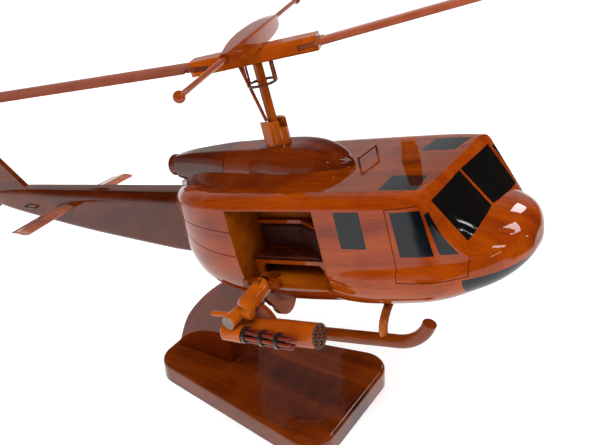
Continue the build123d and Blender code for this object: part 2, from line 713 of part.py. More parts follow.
# side view outlines (x, z)
LEGS = (
    ((-5.6, FLOOR_Z), (-3.4, FLOOR_Z), (-2.6, 16.6), (-0.6, PAN_BOTTOM), (REAR_X, PAN_BOTTOM)),
    ((27.0, PAN_BOTTOM), (28.4, 16.6), (28.8, FLOOR_Z), (31.0, FLOOR_Z), (31.4, PAN_BOTTOM)),
)
with BuildPart() as bench_frame:
    with BuildSketch(Plane.XY.offset(PAN_BOTTOM)):
        with BuildLine():
            Polyline(*PAN, close=True)
        make_face()
    extrude(amount=PAN_T)
    with BuildSketch(side_plane(OUTER_Y)):
        for outline in LEGS:
            with BuildLine():
                Polyline(*outline, close=True)
            make_face()
    extrude(amount=-1.8)
    # back board behind the upholstery, then the rail on top
    for (level, thickness, outline) in ((PAN_Z, 14.2, BACK_BOARD), (PAN_Z + 13.0, 1.5, TOP_RAIL)):
        with BuildSketch(Plane.XY.offset(level)):
            with BuildLine():
                Polyline(*outline, close=True)
            make_face()
        extrude(amount=thickness)

bench_seat_pad = plate(Plane.XY.offset(PAN_Z + 0.06), SEAT_PAD, 2.0)
bench_back_pad = plate(Plane.XY.offset(PAN_Z + 2.3), BACK_PAD, 10.5)

# ---------------------------------------------------------------------------
# Landing skids, starboard
# ---------------------------------------------------------------------------
SKID_HEEL = (-18.0, -SKID_Y, SKID_Z)
SKID_BEND = (60.0, -SKID_Y, SKID_Z)
SKID_TOE = (75.6, -SKID_Y, SKID_Z + 9.5)
with BuildPart() as skid_build:
    with BuildLine() as skid_path:
        Line(SKID_HEEL, SKID_BEND)
        TangentArc(SKID_BEND, SKID_TOE, tangent=(1, 0, 0))
    with BuildSketch(Plane(origin=SKID_HEEL, z_dir=(1, 0, 0))):
        Circle(SKID_D / 2)
    sweep(path=skid_path.line)
skid = skid_build.part

TUBE_R = 1.85
TUBE_TOP_DIR = (0, -1, -0.05)


def cross_tube(x):
    """Starboard half of a cross tube, from inside the belly down to the skid."""
    top = (x, -14.0, 4.6)
    with BuildPart() as tube:
        with BuildLine() as path:
            Spline(top, (x, -24.0, 2.2), (x, -31.6, -2.4), (x, -SKID_Y, SKID_Z),
                   tangents=(TUBE_TOP_DIR, (0, -0.06, -1)))
        with BuildSketch(Plane(origin=top, z_dir=TUBE_TOP_DIR)):
            Circle(TUBE_R)
        sweep(path=path.line)
        add(skid, mode=Mode.SUBTRACT)
    return tube.part


cross_tubes = {"cross_tube_front": cross_tube(54.0), "cross_tube_rear": cross_tube(-9.0)}

# ---------------------------------------------------------------------------
# Weapon set, starboard
# ---------------------------------------------------------------------------
POD_Y, POD_Z, POD_R = 44.5, -4.3, 5.5
POD_REAR, POD_L = -12.0, 42.6
ROCKET_X = 27.1          # bottom of the rocket bores
ROCKET_PITCH_R = 3.35    # six rockets on this radius round a central one
GUN_Y, GUN_Z = 54.0, -0.9
GUN_R = 3.7
GUN_L = 10.5
GUN_TILT = 3.5
GUN = Location((0, -GUN_Y, GUN_Z), (0, GUN_TILT, 0))

well = plate(side_plane(-WELL_Y),
             ((DOOR_X0, FLOOR_Z), (DOOR_X1, FLOOR_Z), (DOOR_X1, DOOR_TOP), (DOOR_X0, DOOR_TOP)),
             40)
hull_open = cut(hull, well)

with BuildPart() as arm_core:
    # main arm, sloping out and down from the cabin
    with BuildSketch(Plane(origin=(3.36, -33.82, 14.4), z_dir=(-0.32, -0.86, -0.40))):
        Circle(4.2)
    extrude(amount=17.4)
    fillet(arm_core.faces().sort_by(Axis.Y)[0].edges(), radius=3.0)
    fillet(arm_core.faces().sort_by(Axis.Y)[-1].edges(), radius=3.4)
    # boss along X at its outer end
    with BuildSketch(frame_yz(-6.5)):
        with Locations((-48.4, 6.0)):
            Circle(2.6)
    extrude(amount=9.0)
    # boss running outboard above the gun
    with BuildSketch(side_plane(-48.0)):
        with Locations((-4.6, 5.6)):
            Circle(3.1)
    extrude(amount=8.6)
    # thin rod running aft
    with BuildSketch(frame_yz(-6.0)):
        with Locations((-51.5, 6.4)):
            Circle(1.2)
    extrude(amount=-11.0)

with BuildPart() as gun_stock:
    with BuildSketch(frame_yz(-GUN_L)):
        Circle(GUN_R)
    extrude(amount=GUN_L)
    chamfer(gun_stock.faces().sort_by(Axis.X)[0].edges(), length=0.5)
gun_body = gun_stock.part.moved(GUN)

with BuildPart() as barrel_stock:
    with BuildSketch(frame_yz(0.02)):
        with PolarLocations(2.3, 6):
            Circle(0.75)
    extrude(amount=24.2)

with BuildPart() as ring_stock:
    for x in (0.6, 9.2, 17.0):
        with BuildSketch(frame_yz(x)):
            Circle(3.55)
        extrude(amount=1.3)
    add(barrel_stock.part, mode=Mode.SUBTRACT)

weapon_arm = cut(arm_core.part, gun_body, hull_open)

with BuildPart() as rocket_pod:
    with BuildSketch(frame_yz(POD_REAR)):
        with Locations((-POD_Y, POD_Z)):
            Circle(POD_R)
    extrude(amount=POD_L)
    chamfer(rocket_pod.faces().sort_by(Axis.X)[0].edges(), length=0.8)
    with BuildSketch(frame_yz(ROCKET_X)):
        with Locations((-POD_Y, POD_Z)):
            Circle(1.15)
            with PolarLocations(ROCKET_PITCH_R, 6, start_angle=30):
                Circle(1.15)
    extrude(amount=4, mode=Mode.SUBTRACT)
    add(weapon_arm, mode=Mode.SUBTRACT)

# straight bodies, then tapered noses: station, length, taper
with BuildPart() as rocket_tips:
    for (x, length, taper) in ((ROCKET_X, 1.6, 0), (ROCKET_X + 1.6, 1.5, 22)):
        with BuildSketch(frame_yz(x)):
            with Locations((-POD_Y, POD_Z)):
                Circle(0.85)
                with PolarLocations(ROCKET_PITCH_R, 6, start_angle=30):
                    Circle(0.85)
        extrude(amount=length, taper=taper)

with BuildPart() as pod_pylon:
    with BuildSketch(side_plane(-41.4)):
        with BuildLine():
            Polyline((-8.5, -3.0), (-8.5, 8.6), (-2.0, 8.6))
            ThreePointArc((-2.0, 8.6), (5.8, 5.0), (9.0, -3.0))
            Line((9.0, -3.0), (-8.5, -3.0))
        make_face()
    extrude(amount=2.2)
    add(rocket_pod.part, mode=Mode.SUBTRACT)
    add(weapon_arm, mode=Mode.SUBTRACT)

# upright web under the arm (front view, y and z) and a bar along the cabin sill
BRACKET_WEB = ((-32, 16.8), (-40.6, 16.8), (-40.2, 12.5), (-38.2, 6.8), (-34.6, 1.6),
               (-30, -1.4), (-20, -1.4), (-20, 9))
SILL_H = 3.4
with BuildPart() as weapon_bracket:
    with BuildSketch(frame_yz(0.6)):
        Polygon(*BRACKET_WEB, align=None)
        with Locations((-26.0, 1.2)):
            Circle(7.4)
    extrude(amount=2.9)
    with BuildSketch(side_plane(-34.6)):
        with Locations((1.6, FLOOR_Z + SILL_H / 2)):
            Rectangle(18.4, SILL_H)
    extrude(amount=3.4)
    add(weapon_arm, mode=Mode.SUBTRACT)

# keep what lies outside the hull, plus what stands in the cabin well
bracket_outside = cut(weapon_bracket.part, hull, skid)
bracket_in_well = weapon_bracket.part & well
with BuildPart() as bracket:
    add(bracket_outside)
    add(bracket_in_well)

pylon = cut(pod_pylon.part, bracket.part, hull)

# ---------------------------------------------------------------------------
# The finished fuselage: windows, panel lines, wells and fittings cut in
# ---------------------------------------------------------------------------
mirrored_cuts = [roof_pane, chin_pane, scribe, well,
                 side_panes["cabin_side"], side_panes["crew_door"]]
tube_cuts = list(cross_tubes.values())
fuselage_right = cut(hull, screen_pane, *mirrored_cuts, quarter_pane, *tube_cuts)
port_cuts = [port_copy(cutter) for cutter in mirrored_cuts + tube_cuts]
fuselage = cut(fuselage_right, port_screen, port_quarter, *port_cuts,
               roof_blade.part, roof_loop)

# ---------------------------------------------------------------------------
# Write the aircraft pieces
# ---------------------------------------------------------------------------
SINGLE = {
    "fuselage_body": fuselage,
    "roof_fairing": roof_fairing,
    "front_cowl": front_cowl,
    "cowl_band": cowl_band.part,
    "engine_cowl": engine_cowl,
    "exhaust_pipe": exhaust_pipe.part,
    "roof_antenna_blade": roof_blade.part,
    "roof_hand_loop": roof_loop,
    "mast_block": block_on_roof,
    "rotor_mast": mast_on_roof,
    "swashplate_ring": ring_notched.moved(MAST),
    "control_rod": control_rod.moved(MAST),
    "rotor_yoke": rotor_yoke.part.moved(ROTOR),
    "rotor_blade_front": blade_front.moved(ROTOR),
    "rotor_blade_rear": blade_rear.moved(ROTOR),
    "stabilizer_bar_block": bar_block.part.moved(BAR_PLACE).moved(ROTOR),
    "stabilizer_bar_arms": bar_arms.part.moved(BAR_PLACE).moved(ROTOR),
    "pitch_links": links_fit.moved(ROTOR),
    "tail_boom": tail_boom,
    "tail_fin": tail_fin.part,
    "tail_skid": tail_skid.part,
    "tail_rotor_shaft": tail_shaft.part,
    "tail_rotor_hub": tail_hub.part,
    "tail_rotor_blades": tail_blades.part,
}
for title, shape in SINGLE.items():
    ship(shape, title)

# one file for each side
PAIRED = {
    "stabilizer": stab_right,
    "bench_frame": bench_frame.part,
    "bench_seat_pad": bench_seat_pad,
    "bench_back_pad": bench_back_pad,
    "landing_skid": skid,
    "weapon_arm": weapon_arm,
    "gun_body": gun_body,
    "gun_barrels": barrel_stock.part.moved(GUN),
    "rocket_pod": rocket_pod.part,
}
for title, shape in PAIRED.items():
    ship(shape, title + "_right")
    ship(port_copy(shape), title + "_left")

# both sides in one file
ship_group(screen_pane, port_screen, "windscreen_panes")
ship_group(quarter_pane, port_quarter, "crew_quarter_windows")
GROUPED = {
    "roof_windows": roof_pane,
    "chin_windows": chin_pane,
    "cabin_side_windows": side_panes["cabin_side"],
    "crew_door_windows": side_panes["crew_door"],
    "boom_hand_loops": boom_loop,
    "weapon_brackets": bracket.part,
    "gun_barrel_rings": ring_stock.part.moved(GUN),
    "pod_pylons": pylon,
    "rocket_tips": rocket_tips.part,
    **cross_tubes,
}
for title, shape in GROUPED.items():
    ship_group(shape, port_copy(shape), title)

# ---------------------------------------------------------------------------
# Stand, drawn in the stand frame
# ---------------------------------------------------------------------------
BASE_T = 10.6
BASE_X0, BASE_X1 = -56.6, 56.6
BASE_W0, BASE_W1 = 19.8, 40.6        # half widths at the tail and nose ends
BASE_CORNER = 13.0
UPRIGHT_T = 7.0
SCREW_SPOTS = ((-45.5, 0), (-25.0, 0))
POCKET_R, POCKET_DEPTH = 3.6, 3.0    # screw head pockets in the underside
HEAD_Z = 0.8                         # underside of the screw heads
SHANK_R = 1.2

with BuildPart() as base_board:
    with BuildSketch(Plane.XY):
        with BuildLine():
            Polyline((BASE_X0, -BASE_W0), (BASE_X1, -BASE_W1), (BASE_X1, BASE_W1),
                     (BASE_X0, BASE_W0), close=True)
        make_face()
        fillet(vertices(), radius=BASE_CORNER)
    extrude(amount=BASE_T)
    fillet(base_board.faces().sort_by(Axis.Z)[-1].edges(), radius=2.0)
    for (radius, depth) in ((POCKET_R, POCKET_DEPTH), (1.6, BASE_T)):
        with BuildSketch(Plane.XY):
            with Locations(*SCREW_SPOTS):
                Circle(radius)
        extrude(amount=depth, mode=Mode.SUBTRACT)

# side view curves (x, z) of the upright's tail-side and nose-side edges
UPRIGHT_REAR = (
    (-53.3, BASE_T), (-51.0, 16.5), (-47.6, 25.1), (-42.7, 34.2),
    (-36.2, 42.6), (-26.7, 52.8), (-15.9, 61.8), (-8.0, 68.0),
)
UPRIGHT_FRONT = ((22.0, 84.0), (6.0, 66.0), (-11.0, 46.0), (-17.4, 28.0), (-17.5, BASE_T))
with BuildPart() as upright:
    with BuildSketch(side_plane(UPRIGHT_T / 2)):
        with BuildLine():
            Spline(*UPRIGHT_REAR)
            Polyline(UPRIGHT_REAR[-1], (-8.0, 92.0), (22.0, 92.0), UPRIGHT_FRONT[0])
            Spline(*UPRIGHT_FRONT, tangents=((-0.5, -1), (0, -1)))
            Line(UPRIGHT_FRONT[-1], UPRIGHT_REAR[0])
        make_face()
    extrude(amount=UPRIGHT_T)
    with BuildSketch(Plane.XY.offset(BASE_T)):
        with Locations(*SCREW_SPOTS):
            Circle(SHANK_R)
    extrude(amount=16.0, mode=Mode.SUBTRACT)
    # the hull is cut out of the tall stock; the piece below it is the upright
    add(hull.moved(PLACE), mode=Mode.SUBTRACT)

with BuildPart() as base_screws:
    with BuildSketch(Plane.XY.offset(HEAD_Z)):
        with Locations(*SCREW_SPOTS):
            Circle(3.0)
    extrude(amount=POCKET_DEPTH - HEAD_Z)
    with BuildSketch(Plane.XY.offset(HEAD_Z)):
        with Locations(*SCREW_SPOTS):
            Rectangle(4.4, 0.8)
    extrude(amount=0.9, mode=Mode.SUBTRACT)
    with BuildSketch(Plane.XY.offset(POCKET_DEPTH)):
        with Locations(*SCREW_SPOTS):
            Circle(SHANK_R)
    extrude(amount=BASE_T - POCKET_DEPTH + 14.0)

write(base_board.part, "stand_base")
write(upright.part.solids().sort_by(Axis.Z)[0], "stand_upright")
write(base_screws.part, "stand_screws")
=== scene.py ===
# A lacquered wooden model helicopter on a stand: finishes for every piece, quilted benches
# and turned weapon arms made here, and a pale studio around them.
# The nose points to +X and is tilted up; the aircraft's right is -Y, its left +Y, +Z is up.
import bmesh
import bpy
import math
from mathutils import Matrix, Vector, noise


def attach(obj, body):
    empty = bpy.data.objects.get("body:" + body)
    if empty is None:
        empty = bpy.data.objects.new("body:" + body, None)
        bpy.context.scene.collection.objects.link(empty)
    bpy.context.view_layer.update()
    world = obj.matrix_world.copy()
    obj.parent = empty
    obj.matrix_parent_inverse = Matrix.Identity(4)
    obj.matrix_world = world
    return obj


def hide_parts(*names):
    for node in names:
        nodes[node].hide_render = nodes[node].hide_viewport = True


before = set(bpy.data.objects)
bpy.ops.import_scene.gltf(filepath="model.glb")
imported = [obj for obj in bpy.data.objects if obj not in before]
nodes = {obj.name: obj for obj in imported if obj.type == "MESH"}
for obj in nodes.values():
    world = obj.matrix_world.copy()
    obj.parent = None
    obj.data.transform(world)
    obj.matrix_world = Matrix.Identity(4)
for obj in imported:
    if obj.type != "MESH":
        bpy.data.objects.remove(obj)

BODY = "airframe_and_stand"

MM = 0.001
NOSE_UP = math.radians(12.43)
BLADE_TURN = math.radians(22.5)     # main rotor blades, about Z
BAR_TURN = math.radians(108.8)      # stabilizer bar, about Z
# Aircraft frame (mm, level) to the scene (m), and back
PLACE = (Matrix.Translation((0.0333, 0, 0.07917)) @ Matrix.Rotation(-NOSE_UP, 4, "Y")
         @ Matrix.Scale(MM, 4))
UNPLACE = PLACE.inverted()
UNPLACE_NORMAL = UNPLACE.to_3x3().normalized()


# ---------------------------------------------------------------- node graphs

def rgba(colour):
    """Adds alpha to a plain colour; leaves a socket alone."""
    return colour + (1,) if isinstance(colour, tuple) else colour


def tinted(colour, red, green, blue):
    """The colour with each channel multiplied."""
    return (colour[0] * red, colour[1] * green, colour[2] * blue)


class Graph:
    """Node tree of a material or the world. An input may be a number, a tuple or a socket."""

    def __init__(self, owner, output_kind):
        self.owner = owner
        owner.use_nodes = True
        self.tree = owner.node_tree
        self.tree.nodes.clear()
        self.output = self.node(output_kind)

    def node(self, kind, inputs=None, **settings):
        made = self.tree.nodes.new(kind)
        for key, value in settings.items():
            setattr(made, key, value)
        for key, value in (inputs or {}).items():
            if isinstance(value, bpy.types.NodeSocket):
                self.tree.links.new(value, made.inputs[key])
            else:
                made.inputs[key].default_value = value
        return made

    def remap(self, value, span, to, **settings):
        inputs = {"Value": value, "From Min": span[0], "From Max": span[1],
                  "To Min": to[0], "To Max": to[1]}
        return self.node("ShaderNodeMapRange", inputs, **settings).outputs[0]

    def finish(self, shader):
        self.tree.links.new(shader.outputs[0], self.output.inputs["Surface"])
        return self.owner


class MaterialGraph(Graph):
    def __init__(self, name):
        super().__init__(bpy.data.materials.new(name), "ShaderNodeOutputMaterial")

    def object_point(self):
        return self.node("ShaderNodeTexCoord").outputs["Object"]

    def aircraft_point(self):
        """Object position with the nose-up tilt taken into account."""
        return self.mapping(self.object_point(), rotation=(0, NOSE_UP, 0))

    def mapping(self, point, rotation=(0, 0, 0), scale=(1, 1, 1), location=(0, 0, 0)):
        inputs = {"Vector": point, "Rotation": rotation, "Scale": scale, "Location": location}
        return self.node("ShaderNodeMapping", inputs).outputs["Vector"]

    def noise(self, point, scale, detail=2.0, rough=0.5, distort=0.0):
        inputs = {"Vector": point, "Scale": scale, "Detail": detail, "Roughness": rough,
                  "Distortion": distort}
        return self.node("ShaderNodeTexNoise", inputs).outputs["Fac"]

    def stretched(self, point, scale, **look):
        """Noise with its own scale on each axis."""
        return self.noise(self.mapping(point, scale=scale), 1.0, **look)

    def mix(self, base, other, amount, mode="MIX"):
        inputs = {"Factor": amount, 6: rgba(base), 7: rgba(other)}
        made = self.node("ShaderNodeMix", inputs, data_type="RGBA", blend_type=mode)
        return made.outputs[2]

    def shade(self, base, other, by, span, most, mode="MIX"):
        """Mixes in the other colour, from none to most, as the value crosses the span."""
        return self.mix(base, other, self.remap(by, span, (0.0, most)), mode)

    def ramp(self, value, stops):
        made = self.node("ShaderNodeValToRGB", {"Fac": value})
        elements = made.color_ramp.elements
        while len(elements) < len(stops):
            elements.new(0.5)
        for element, (position, colour) in zip(elements, stops):
            element.position = position
            element.color = rgba(colour)
        return made.outputs["Color"]

    def bump(self, height, strength, distance, normal=None):
        inputs = {"Height": height, "Strength": strength, "Distance": distance}
        if normal:
            inputs["Normal"] = normal
        return self.node("ShaderNodeBump", inputs).outputs["Normal"]

    def principled(self, inputs):
        return self.finish(self.node("ShaderNodeBsdfPrincipled", inputs))


# ---------------------------------------------------------------- materials

def mahogany(name, dark, mid, light, seed, turn=0.0, tilted=True, upright=False,
             grain=1.0, band=1.0, streak=0.55, pores=0.45, rough=0.42, coat=1.0,
             coat_rough=0.025, corner=0.75, corner_shade_reach=0.0028):
    """Lacquered mahogany. Grain runs along X, turned about Z, or stood up if upright.

    grain scales the grain's fineness, band widens the bands, streak and pores set their
    darkness, corner and its reach (m) how much painted shade darkens corners and recesses.
    """
    m = MaterialGraph(name)
    point = m.mapping(m.object_point(), location=(seed * 0.37, seed * 0.71, seed * 0.53))
    if tilted:
        point = m.mapping(point, rotation=(0, NOSE_UP, 0))
    if turn:
        point = m.mapping(point, rotation=(0, 0, -turn))
    if upright:
        point = m.mapping(point, rotation=(0, math.radians(62), 0))

    # Slow sideways wander of the grain lines
    wander = m.remap(m.stretched(point, (14, 30, 30)), span=(0.3, 0.7), to=(-0.0035, 0.0035))
    sideways = m.node("ShaderNodeCombineXYZ", {1: wander, 2: wander}).outputs[0]
    fibre_point = m.node("ShaderNodeVectorMath", {0: point, 1: sideways},
                         operation="ADD").outputs[0]

    def fibre(along, across, **look):
        scale = (along * grain, across * grain, across * grain)
        return m.stretched(fibre_point, scale, **look)

    bands = m.remap(fibre(along=5, across=70, detail=3.0, rough=0.55, distort=0.4),
                    span=(0.5 - 0.26 * band, 0.5 + 0.26 * band), to=(0, 1))
    colour = m.ramp(bands, [(0.0, dark), (0.42, mid), (0.72, light), (1.0, mid)])
    # Growth-line streaks, then finer fibres
    lines = fibre(along=16, across=520, detail=3.0, rough=0.6)
    colour = m.shade(colour, m.mix(colour, dark, amount=0.62), by=lines,
                     span=(0.42, 0.68), most=streak)
    fine = fibre(along=60, across=1900)
    colour = m.shade(colour, (0.25, 0.12, 0.08), by=fine, span=(0.45, 0.75), most=0.30,
                     mode="MULTIPLY")
    # Pores: short dark dashes under the lacquer
    dashes = m.stretched(fibre_point, (260, 3600, 3600), detail=1.0)
    colour = m.shade(colour, tinted(dark, 0.25, 0.2, 0.2), by=dashes, span=(0.66, 0.76),
                     most=pores)
    # Ribbon figure across the grain
    ribbon = m.stretched(fibre_point, (85, 26, 26), distort=0.8)
    colour = m.shade(colour, tinted(light, 1.25, 1.35, 1.2), by=ribbon, span=(0.35, 0.7),
                     most=0.25)
    # Large blotches of stain
    blotches = m.noise(point, scale=11.0, detail=3.0, rough=0.55, distort=0.6)
    colour = m.shade(colour, tinted(dark, 1.2, 1, 1), by=blotches, span=(0.42, 0.72), most=0.45)
    # Painted shade: darker in corners and recesses, from ambient occlusion
    painted_corner_shade = m.node("ShaderNodeAmbientOcclusion", {"Distance": corner_shade_reach},
                       samples=6, only_local=False).outputs["AO"]
    colour = m.mix(colour, tinted(dark, 0.3, 0.22, 0.2),
                   amount=m.remap(painted_corner_shade, span=(0.25, 0.85), to=(corner, 0.0)))

    haze = m.noise(point, scale=260.0)
    # Lacquer: long soft waves and a trace of the grain
    waves = m.bump(m.noise(point, scale=95.0), strength=0.10, distance=0.0008)
    return m.principled({
        "Base Color": colour,
        "Roughness": m.remap(lines, span=(0.3, 0.7), to=(rough - 0.07, rough + 0.08)),
        "Specular IOR Level": 0.0,
        "Coat Weight": coat,
        "Coat IOR": 1.5,
        "Coat Roughness": m.remap(haze, span=(0.3, 0.7),
                                  to=(coat_rough * 0.6, coat_rough * 1.6)),
        "Coat Normal": m.bump(lines, strength=0.05, distance=0.00012, normal=waves),
        "Normal": m.bump(fine, strength=0.25, distance=0.00015),
    })


def gloss_black(name, tint, coat_rough, waviness):
    m = MaterialGraph(name)
    point = m.aircraft_point()
    mottle = m.noise(point, scale=70.0, detail=3.0)
    dust = m.noise(point, scale=2600.0, rough=0.6)
    colour = m.shade(tint, tinted(tint, 1.9, 1.8, 1.7), by=mottle, span=(0.35, 0.7), most=0.6)
    colour = m.shade(colour, (0.035, 0.035, 0.038), by=dust, span=(0.70, 0.80), most=0.5)
    scuffs = m.stretched(point, (900, 2400, 300))
    waves = m.noise(point, scale=120.0, detail=1.0)
    return m.principled({
        "Base Color": colour,
        "Specular IOR Level": 0.0,
        "Roughness": 0.3,
        "Coat Weight": 1.0,
        "Coat IOR": 1.52,
        "Coat Roughness": m.remap(scuffs, span=(0.4, 0.75), to=(coat_rough, coat_rough + 0.05)),
        "Coat Normal": m.bump(waves, strength=waviness, distance=0.0006),
    })


def leather(name):
    m = MaterialGraph(name)
    point = m.aircraft_point()
    cells = m.node("ShaderNodeTexVoronoi", {"Scale": 1900.0, "Vector": point},
                   feature="DISTANCE_TO_EDGE").outputs["Distance"]
    creases = m.remap(cells, span=(0.0, 0.18), to=(0.0, 1.0))
    mottle = m.noise(point, scale=160.0, detail=3.0)
    colour = m.shade((0.018, 0.0022, 0.0012), (0.062, 0.0072, 0.0028), by=mottle,
                     span=(0.35, 0.7), most=1.0)
    # Painted highlight: paler where the form stands proud
    ridge_highlight = m.node("ShaderNodeNewGeometry").outputs["Pointiness"]
    colour = m.shade(colour, (0.085, 0.020, 0.010), by=ridge_highlight, span=(0.50, 0.56), most=0.55)
    relief = m.bump(creases, strength=0.45, distance=0.00010)
    return m.principled({
        "Base Color": colour,
        "Roughness": m.remap(mottle, span=(0.3, 0.7), to=(0.24, 0.38)),
        "Specular IOR Level": 0.18,
        "Coat Weight": 0.14,
        "Coat Roughness": 0.18,
        "Normal": relief,
        "Coat Normal": relief,
    })


def metal(name, base, worn, metallic, rough, coat=0.0):
    """Brushed, tarnished surface; lacquered if it has a coat."""
    m = MaterialGraph(name)
    point = m.aircraft_point()
    tarnish = m.noise(point, scale=420.0, detail=4.0, rough=0.6)
    brushing = m.stretched(point, (300, 4000, 4000))
    return m.principled({
        "Base Color": m.shade(base, worn, by=tarnish, span=(0.4, 0.7), most=0.8),
        "Metallic": metallic,
        "Roughness": m.remap(brushing, span=(0.3, 0.7), to=(rough * 0.75, rough * 1.35)),
        "Coat Weight": coat,
        "Coat Roughness": 0.05,
        "Normal": m.bump(brushing, strength=0.12, distance=0.0001),
    })


def floor_paper(name):
    m = MaterialGraph(name)
    mottle = m.noise(m.object_point(), scale=40.0, detail=3.0)
    return m.principled({
        "Base Color": m.shade((0.86, 0.86, 0.86), (0.90, 0.90, 0.90), by=mottle,
                              span=(0.3, 0.7), most=1),
        "Roughness": 0.9,
        "Specular IOR Level": 0.0,
        "Emission Color": (1, 1, 1, 1),
        "Emission Strength": 0.32,
    })


DARK, MID, LIGHT = (0.125, 0.012, 0.0005), (0.275, 0.036, 0.0006), (0.370, 0.060, 0.0010)

# Material: dark, mid and light stain, seed, other mahogany() arguments
WOODS = {
    "hull_mahogany": (DARK, MID, LIGHT, 1, dict(pores=0.3, streak=0.7)),
    "boom_mahogany": (
        (0.034, 0.0034, 0.0005), (0.085, 0.0105, 0.0008), (0.140, 0.021, 0.0012), 2,
        dict(pores=0.3)),
    "roof_mahogany": (
        (0.040, 0.0042, 0.0006), (0.110, 0.013, 0.0008), (0.19, 0.027, 0.0012), 3,
        dict(grain=0.8, pores=0.3)),
    # The hull wood darkened as painted shade on the flat roof top
    "roof_top_painted_shade_mahogany": (
        tinted(DARK, 0.62, 0.62, 0.62), tinted(MID, 0.62, 0.62, 0.62),
        tinted(LIGHT, 0.66, 0.66, 0.66), 1, dict(pores=0.3, streak=0.7)),
    # Stabilizers: pale pinkish wood, a painted reflection of the pale room
    "stabilizer_painted_reflection_mahogany": (
        (0.16, 0.036, 0.018), (0.33, 0.100, 0.060), (0.44, 0.150, 0.095), 20, {}),
    # The cabin floor and the cabin inside wood below get a deeper, wider painted shade in their
    # corners
    "cabin_floor_wood": (
        (0.16, 0.026, 0.0010), (0.33, 0.066, 0.0018), (0.44, 0.10, 0.003), 21,
        dict(coat=0.15, rough=0.5, coat_rough=0.2, grain=1.1, corner=0.5, corner_shade_reach=0.006)),
    "cowl_mahogany": (
        (0.026, 0.0028, 0.0006), (0.078, 0.0085, 0.0010), (0.19, 0.028, 0.0014), 4,
        dict(grain=0.8, pores=0.25)),
    "engine_cowl_mahogany": (
        (0.024, 0.0026, 0.0006), (0.068, 0.0078, 0.0010), (0.15, 0.022, 0.0013), 5,
        dict(grain=0.8, pores=0.25)),
    "band_light_mahogany": (
        (0.19, 0.024, 0.0015), (0.36, 0.062, 0.0025), (0.48, 0.105, 0.004), 6, {}),
    "band_mahogany": (
        (0.048, 0.0055, 0.0008), (0.140, 0.017, 0.0010), (0.24, 0.038, 0.0018), 6,
        dict(grain=0.8, pores=0.25)),
    "weapon_mahogany": (
        (0.20, 0.026, 0.0015), (0.36, 0.062, 0.0025), (0.46, 0.100, 0.004), 7, {}),
    # Pale pinkish wood: painted reflection on the bracket and pylon faces turned towards the
    # camera
    "bracket_side_painted_reflection_mahogany": (
        (0.15, 0.036, 0.020), (0.30, 0.092, 0.058), (0.40, 0.140, 0.092), 22, {}),
    "bench_mahogany": (
        (0.11, 0.012, 0.001), (0.30, 0.045, 0.002), (0.40, 0.075, 0.003), 8, {}),
    "skid_mahogany": (
        (0.075, 0.009, 0.0006), (0.19, 0.030, 0.001), (0.30, 0.060, 0.002), 9,
        dict(grain=1.4)),
    "cross_tube_mahogany": (
        (0.16, 0.03, 0.004), (0.36, 0.085, 0.012), (0.52, 0.15, 0.03), 10,
        dict(grain=2.0, upright=True)),
    "base_mahogany": (
        (0.030, 0.0030, 0.0005), (0.098, 0.0125, 0.0008), (0.205, 0.034, 0.0014), 11,
        dict(tilted=False, grain=0.55, band=0.85, pores=0.25)),
    "upright_mahogany": (
        (0.048, 0.005, 0.0007), (0.115, 0.014, 0.0009), (0.18, 0.027, 0.0014), 12,
        dict(tilted=False, upright=True, grain=0.7)),
    "rotor_mahogany": (
        (0.19, 0.022, 0.001), (0.38, 0.066, 0.0016), (0.52, 0.115, 0.003), 13,
        dict(turn=BLADE_TURN)),
    "blade_mahogany": (
        (0.14, 0.017, 0.002), (0.27, 0.042, 0.004), (0.37, 0.070, 0.006), 14,
        dict(turn=BLADE_TURN, grain=0.9, coat=0.8)),
    # Main rotor blades: one wood, with a strong painted reflection on the front blade and a
    # weaker one on the rear
    "front_blade_mahogany": (
        (0.19, 0.034, 0.013), (0.34, 0.080, 0.036), (0.45, 0.122, 0.062), 14,
        dict(turn=BLADE_TURN, grain=0.9, coat=0.8)),
    "rear_blade_mahogany": (
        (0.11, 0.020, 0.009), (0.20, 0.046, 0.024), (0.28, 0.074, 0.042), 24,
        dict(turn=BLADE_TURN, grain=0.9, coat=0.5)),
    "rotor_mast_mahogany": (
        (0.105, 0.011, 0.0010), (0.25, 0.036, 0.0018), (0.38, 0.074, 0.003), 25,
        dict(upright=True)),
    "bar_mahogany": (
        (0.12, 0.014, 0.0015), (0.27, 0.040, 0.0025), (0.38, 0.075, 0.004), 15,
        dict(turn=BAR_TURN)),
    "mast_mahogany": (
        (0.16, 0.020, 0.0012), (0.32, 0.054, 0.0022), (0.44, 0.095, 0.004), 16,
        dict(upright=True)),
    "mast_red_mahogany": (
        (0.070, 0.0055, 0.0012), (0.19, 0.020, 0.0022), (0.31, 0.046, 0.005), 17,
        dict(upright=True)),
    "barrel_red_lacquer": (
        (0.075, 0.006, 0.003), (0.17, 0.018, 0.008), (0.27, 0.045, 0.016), 18,
        dict(grain=2.0, corner=0.9)),
    "cabin_inside_wood": (
        (0.125, 0.021, 0.0011), (0.255, 0.050, 0.0017), (0.355, 0.083, 0.0028), 19,
        dict(coat=0.10, rough=0.55, coat_rough=0.25, grain=1.1, corner=0.50,
             corner_shade_reach=0.011)),
}
BLACKS = {
    "window_gloss_black": dict(tint=(0.0012, 0.0030, 0.0050), coat_rough=0.015, waviness=0.08),
    "windscreen_gloss_black": dict(tint=(0.003, 0.0025, 0.0022), coat_rough=0.010,
                                   waviness=0.015),
}
